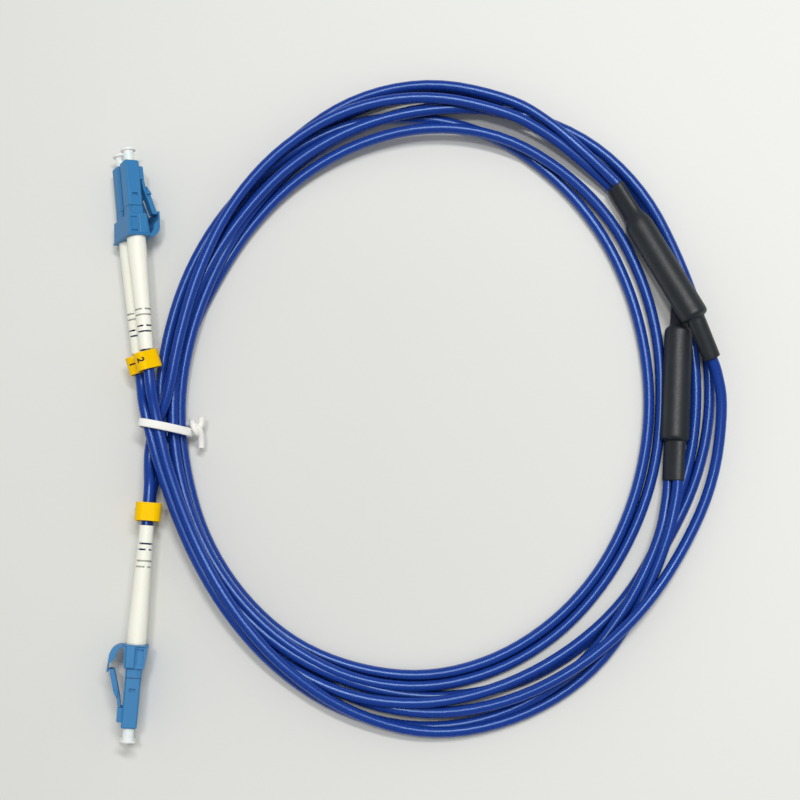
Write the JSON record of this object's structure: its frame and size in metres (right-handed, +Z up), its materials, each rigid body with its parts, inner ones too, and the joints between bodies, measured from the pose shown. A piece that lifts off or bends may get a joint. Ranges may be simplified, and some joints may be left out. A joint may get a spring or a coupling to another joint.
{
  "type": "duplex fibre patch cord",
  "caption": "Coiled and tied armoured fibre patch cord: blue jacket, black breakout sleeves, duplex latched plugs with ivory boots, dust caps and yellow number rings.",
  "frame": {"origin": "on the table, under the middle of the box round the plugs, sleeves and tie", "axes": "+Z up from the table the coil lies on, +Y towards the nose of end a's plugs, +X from the tie towards the breakout sleeves"},
  "size_m": [0.1849, 0.1991, 0.0153],
  "materials": {
    "cord_jacket": "glossy blue jacket",
    "plug_blue": "satin moulded",
    "boot_ivory": "smooth soft moulding",
    "sleeve_black": "satin shrunk sleeve",
    "marker_yellow": "smooth",
    "tie_white": "matte",
    "cap_clear": "milky, slightly translucent",
    "ferrule_white": "polished",
    "crimp_metal": "plain",
    "steel": "plain"
  },
  "bodies": {
    "cord_and_plugs": {"boot_a1": "boot_ivory", "boot_a2": "boot_ivory", "boot_b1": "boot_ivory", "boot_b2": "boot_ivory", "breakout_tube_a": "steel", "breakout_tube_b": "steel", "cord_coil": "cord_jacket", "crimp_ring_a1": "crimp_metal", "crimp_ring_a2": "crimp_metal", "crimp_ring_b1": "crimp_metal", "crimp_ring_b2": "crimp_metal", "duplex_clip_a": "plug_blue", "duplex_clip_b": "plug_blue", "leg_a1": "cord_jacket", "leg_a2": "cord_jacket", "leg_b1": "cord_jacket", "leg_b2": "cord_jacket", "leg_end_a1": "cord_jacket", "leg_end_a2": "cord_jacket", "leg_end_b1": "cord_jacket", "leg_end_b2": "cord_jacket", "marker_ring_a1": "marker_yellow", "marker_ring_a2": "marker_yellow", "marker_ring_b1": "marker_yellow", "marker_ring_b2": "marker_yellow", "plug_housing_a1": "plug_blue", "plug_housing_a2": "plug_blue", "plug_housing_b1": "plug_blue", "plug_housing_b2": "plug_blue", "rear_body_a1": "plug_blue", "rear_body_a2": "plug_blue", "rear_body_b1": "plug_blue", "rear_body_b2": "plug_blue", "shrink_sleeve_a": "sleeve_black", "shrink_sleeve_b": "sleeve_black", "spring_a1": "steel", "spring_a2": "steel", "spring_b1": "steel", "spring_b2": "steel", "trunk_end_a": "cord_jacket", "trunk_end_b": "cord_jacket", "twist_tie": "tie_white"},
    "trigger_a": {"clip_trigger_a": "plug_blue"},
    "latch_a1": {"latch_a1": "plug_blue"},
    "ferrule_a1": {"ferrule_a1": "ferrule_white"},
    "cap_a1": {"dust_cap_a1": "cap_clear"},
    "latch_a2": {"latch_a2": "plug_blue"},
    "ferrule_a2": {"ferrule_a2": "ferrule_white"},
    "cap_a2": {"dust_cap_a2": "cap_clear"},
    "trigger_b": {"clip_trigger_b": "plug_blue"},
    "latch_b1": {"latch_b1": "plug_blue"},
    "ferrule_b1": {"ferrule_b1": "ferrule_white"},
    "cap_b1": {"dust_cap_b1": "cap_clear"},
    "latch_b2": {"latch_b2": "plug_blue"},
    "ferrule_b2": {"ferrule_b2": "ferrule_white"},
    "cap_b2": {"dust_cap_b2": "cap_clear"}
  },
  "joints": [
    {"name": "trigger_press_a", "type": "hinge", "parent": "cord_and_plugs", "child": "trigger_a", "pos_m": [-0.08089, 0.06067, 0.00599], "axis": [0.5246, 0.0765, 0.8479], "range_deg": [0, 12], "stiffness_Nm_per_rad": 0.02},
    {"name": "latch_press_a1", "type": "hinge", "parent": "cord_and_plugs", "child": "latch_a1", "pos_m": [-0.08501, 0.07731, 0.00335], "axis": [-0.5246, -0.0765, -0.8479], "range_deg": [0, 9.6], "stiffness_Nm_per_rad": 0.01},
    {"name": "ferrule_float_a1", "type": "slide", "parent": "cord_and_plugs", "child": "ferrule_a1", "axis": [0.1167, -0.993, 0.0175], "range_m": [0, 0.001], "stiffness_N_per_m": 200, "deforming": ["spring_a1"]},
    {"name": "cap_pull_a1", "type": "slide", "parent": "cord_and_plugs", "child": "cap_a1", "axis": [-0.1167, 0.993, -0.0175], "range_m": [0, 0.02]},
    {"name": "latch_press_a2", "type": "hinge", "parent": "cord_and_plugs", "child": "latch_a2", "pos_m": [-0.08173, 0.07779, 0.00865], "axis": [-0.5246, -0.0765, -0.8479], "range_deg": [0, 9.6], "stiffness_Nm_per_rad": 0.01},
    {"name": "ferrule_float_a2", "type": "slide", "parent": "cord_and_plugs", "child": "ferrule_a2", "axis": [0.1167, -0.993, 0.0175], "range_m": [0, 0.001], "stiffness_N_per_m": 200, "deforming": ["spring_a2"]},
    {"name": "cap_pull_a2", "type": "slide", "parent": "cord_and_plugs", "child": "cap_a2", "axis": [-0.1167, 0.993, -0.0175], "range_m": [0, 0.02]},
    {"name": "trigger_press_b", "type": "hinge", "parent": "cord_and_plugs", "child": "trigger_b", "pos_m": [-0.08414, -0.06024, 0.00749], "axis": [0.1733, -0.0117, 0.9848], "range_deg": [0, 12], "stiffness_Nm_per_rad": 0.02},
    {"name": "latch_press_b1", "type": "hinge", "parent": "cord_and_plugs", "child": "latch_b1", "pos_m": [-0.08525, -0.07725, 0.00431], "axis": [-0.1733, 0.0117, -0.9848], "range_deg": [0, 9.6], "stiffness_Nm_per_rad": 0.01},
    {"name": "ferrule_float_b1", "type": "slide", "parent": "cord_and_plugs", "child": "ferrule_b1", "axis": [0.0671, 0.9977, 0], "range_m": [0, 0.001], "stiffness_N_per_m": 200, "deforming": ["spring_b1"]},
    {"name": "cap_pull_b1", "type": "slide", "parent": "cord_and_plugs", "child": "cap_b1", "axis": [-0.0671, -0.9977, 0], "range_m": [0, 0.02]},
    {"name": "latch_press_b2", "type": "hinge", "parent": "cord_and_plugs", "child": "latch_b2", "pos_m": [-0.08417, -0.07732, 0.01047], "axis": [-0.1733, 0.0117, -0.9848], "range_deg": [0, 9.6], "stiffness_Nm_per_rad": 0.01},
    {"name": "ferrule_float_b2", "type": "slide", "parent": "cord_and_plugs", "child": "ferrule_b2", "axis": [0.0671, 0.9977, 0], "range_m": [0, 0.001], "stiffness_N_per_m": 200, "deforming": ["spring_b2"]},
    {"name": "cap_pull_b2", "type": "slide", "parent": "cord_and_plugs", "child": "cap_b2", "axis": [-0.0671, -0.9977, 0], "range_m": [0, 0.02]}
  ],
  "couplings": [
    {"joint": "latch_press_a1", "follows": "trigger_press_a", "ratio": 0.78},
    {"joint": "latch_press_a2", "follows": "trigger_press_a", "ratio": 0.78},
    {"joint": "latch_press_b1", "follows": "trigger_press_b", "ratio": 0.78},
    {"joint": "latch_press_b2", "follows": "trigger_press_b", "ratio": 0.78}
  ]
}
